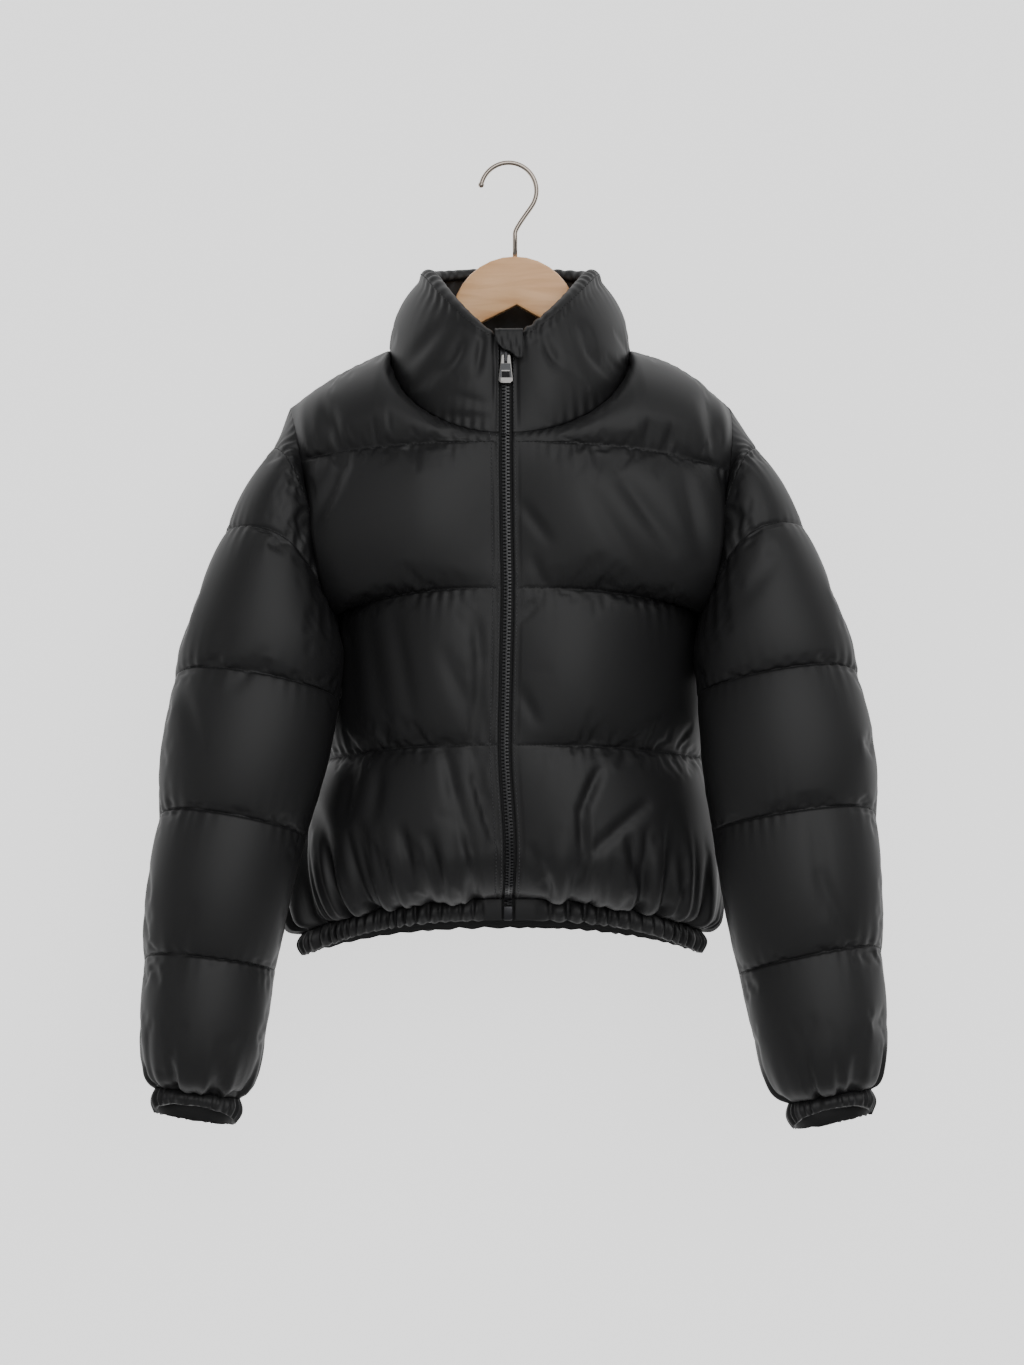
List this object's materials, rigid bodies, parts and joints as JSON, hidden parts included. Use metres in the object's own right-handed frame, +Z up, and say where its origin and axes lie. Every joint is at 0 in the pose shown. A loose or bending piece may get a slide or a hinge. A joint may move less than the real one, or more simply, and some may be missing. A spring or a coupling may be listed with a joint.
{
  "type": "quilted puffer jacket on a wooden hanger",
  "caption": "Cropped quilted puffer jacket with a stand-up collar, front zip, gathered hem and cuffs, hanging closed on a wooden hanger with a wire hook.",
  "frame": {"origin": "the point inside the hook's bend, at its top, where a rail carries the hanger", "axes": "+Z up out of the hook's bend, -Y out of the jacket's front, +X towards the right side as seen from the front"},
  "size_m": [0.6302, 0.2258, 0.8232],
  "materials": {
    "shell_cloth": "black woven polyester taffeta with a soft satin sheen",
    "zip_tape": "matt black knitted zip tape",
    "zip_teeth": "moulded black plastic",
    "zip_metal": "nickel-plated zinc",
    "hanger_beech": "clear satin lacquer",
    "hook_steel": "nickel-plated steel wire"
  },
  "bodies": {
    "jacket": {"front_panel_left": "shell_cloth", "front_panel_right": "shell_cloth", "back_panel": "shell_cloth", "sleeve_front_left": "shell_cloth", "sleeve_back_left": "shell_cloth", "sleeve_front_right": "shell_cloth", "sleeve_back_right": "shell_cloth", "cuff_left": "shell_cloth", "cuff_right": "shell_cloth", "collar": "shell_cloth", "hem_band": "shell_cloth", "zip_garage": "shell_cloth", "zip_tape_left": "zip_tape", "zip_tape_right": "zip_tape", "zip_chain": "zip_teeth", "zip_slider": "zip_metal", "zip_box": "zip_metal", "hanger_wood": "hanger_beech", "hanger_hook": "hook_steel"},
    "pull_tab": {"zip_pull": "zip_metal"}
  },
  "joints": [
    {"name": "pull_swing", "type": "hinge", "parent": "jacket", "child": "pull_tab", "pos_m": [-0.0036, -0.08096, -0.17119], "axis": [-1, 0, 0], "range_deg": [0, 90]}
  ]
}
